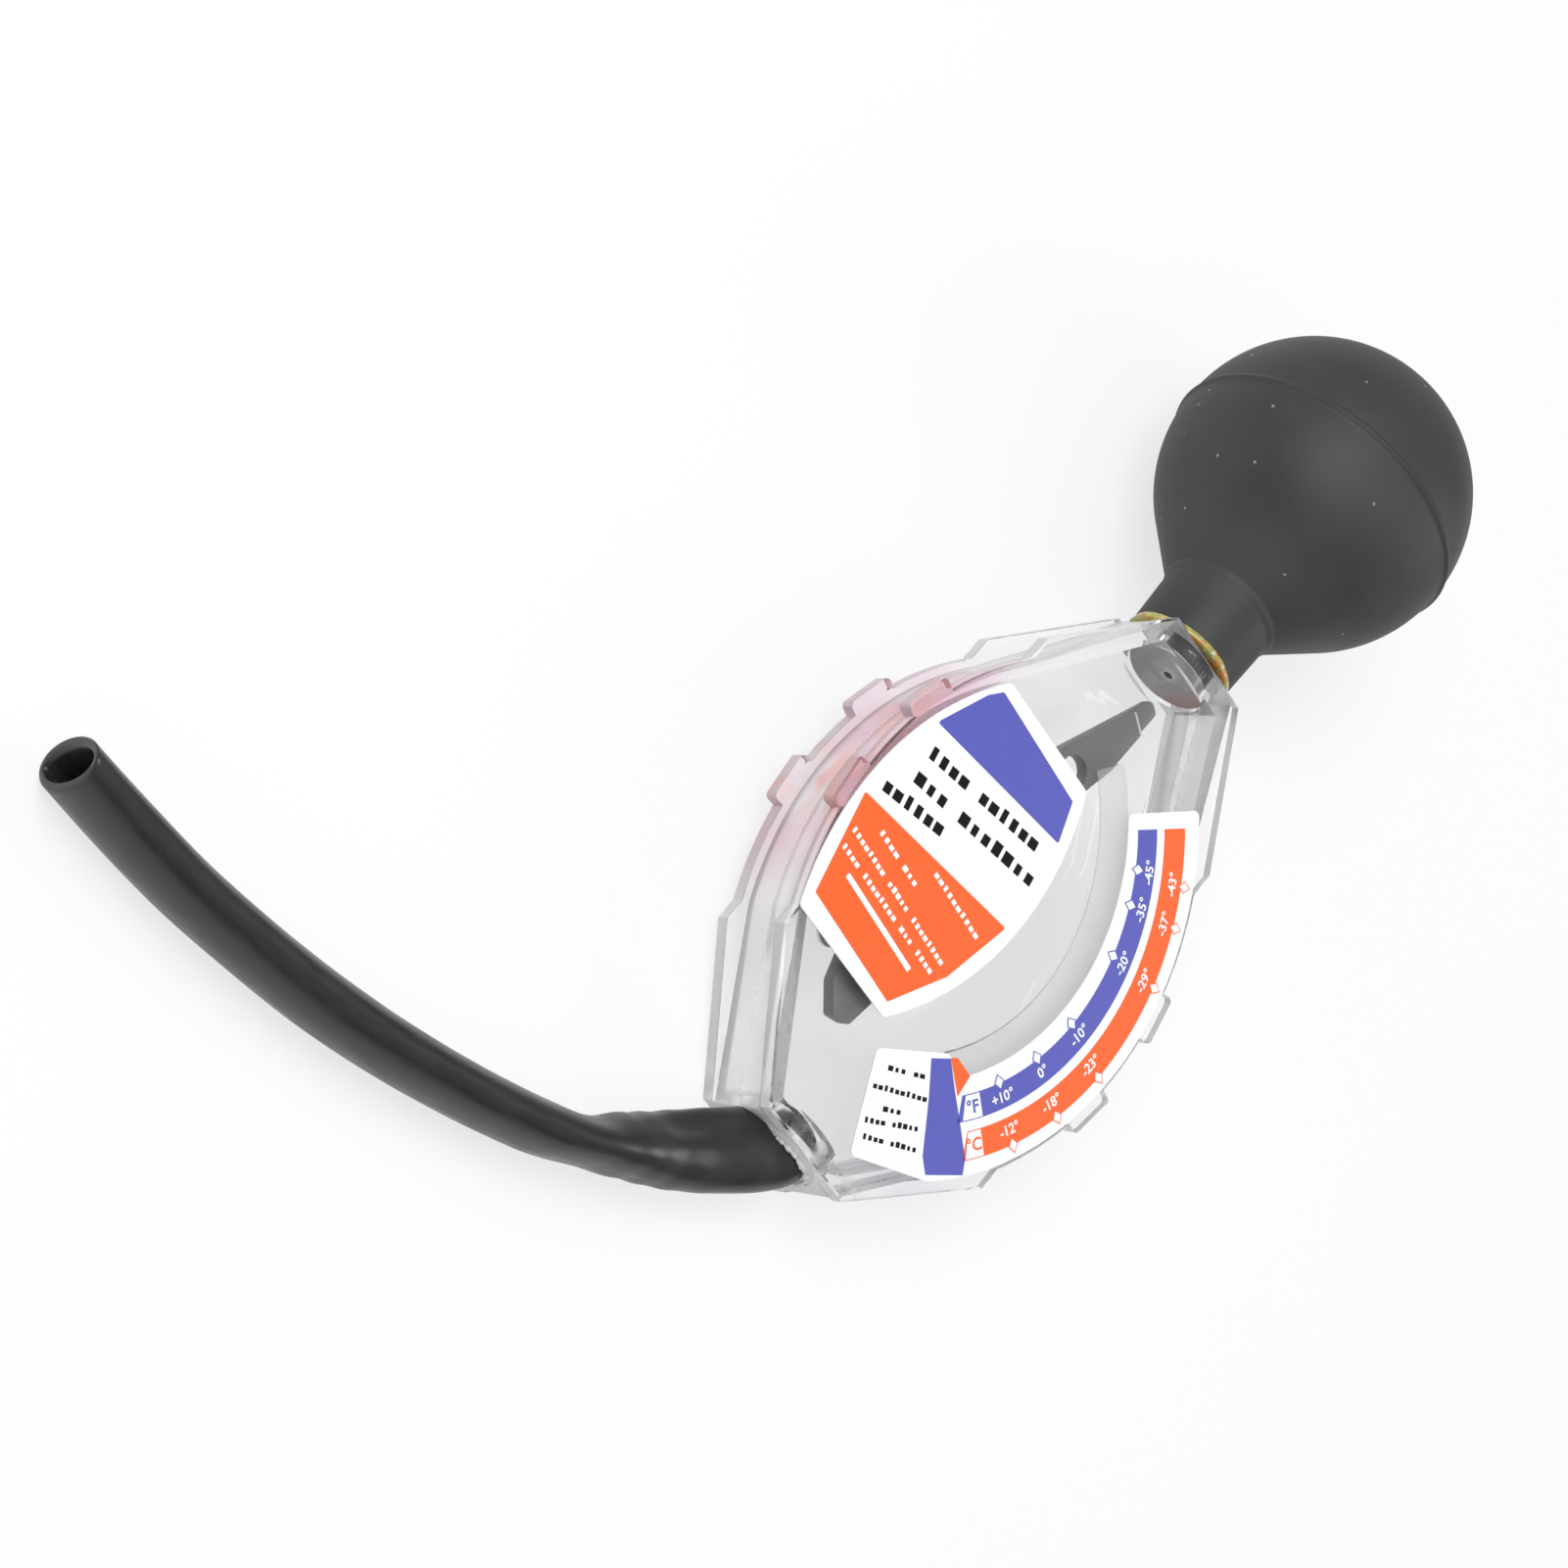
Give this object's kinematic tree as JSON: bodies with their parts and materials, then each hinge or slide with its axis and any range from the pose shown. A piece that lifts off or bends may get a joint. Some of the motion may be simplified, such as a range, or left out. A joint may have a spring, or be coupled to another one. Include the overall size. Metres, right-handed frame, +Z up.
{
  "type": "antifreeze tester",
  "caption": "Antifreeze tester: a rubber squeeze bulb draws coolant up a hose into a clear flat housing, where a weighted pointer floats against a curved freeze-point scale.",
  "frame": {"origin": "on the surface it lies on, under the middle of the object's box without the hose", "axes": "+Z up, +Y along the tester towards the squeeze bulb, +X to the right of someone who reads the scale"},
  "size_m": [0.154, 0.2181, 0.0505],
  "materials": {
    "clear_plastic": "clear, polished moulding",
    "bulb_rubber": "matte moulded rubber",
    "hose_rubber": "semi-gloss extruded rubber",
    "amber_cement": "translucent amber adhesive",
    "frosted_cement": "frosted solvent cement",
    "printed_film": "printed white film",
    "grey_plastic": "satin moulded plastic",
    "weight_metal": "turned brass",
    "pin_steel": "ground steel"
  },
  "bodies": {
    "housing": {"front_shell": "clear_plastic", "back_shell": "clear_plastic", "squeeze_bulb": "bulb_rubber", "hose": "hose_rubber", "neck_cement": "amber_cement", "hose_cement": "frosted_cement", "name_label": "printed_film", "scale_label": "printed_film", "pointer_stop": "grey_plastic", "pivot_pin": "pin_steel"},
    "pointer": {"pointer": "grey_plastic", "pointer_weight": "weight_metal"}
  },
  "joints": [
    {"name": "pointer_swing", "type": "hinge", "parent": "housing", "child": "pointer", "pos_m": [-0.019, -0.03499, 0.0139], "axis": [0, 0.1199, -0.9928], "range_deg": [-8, 100]}
  ]
}
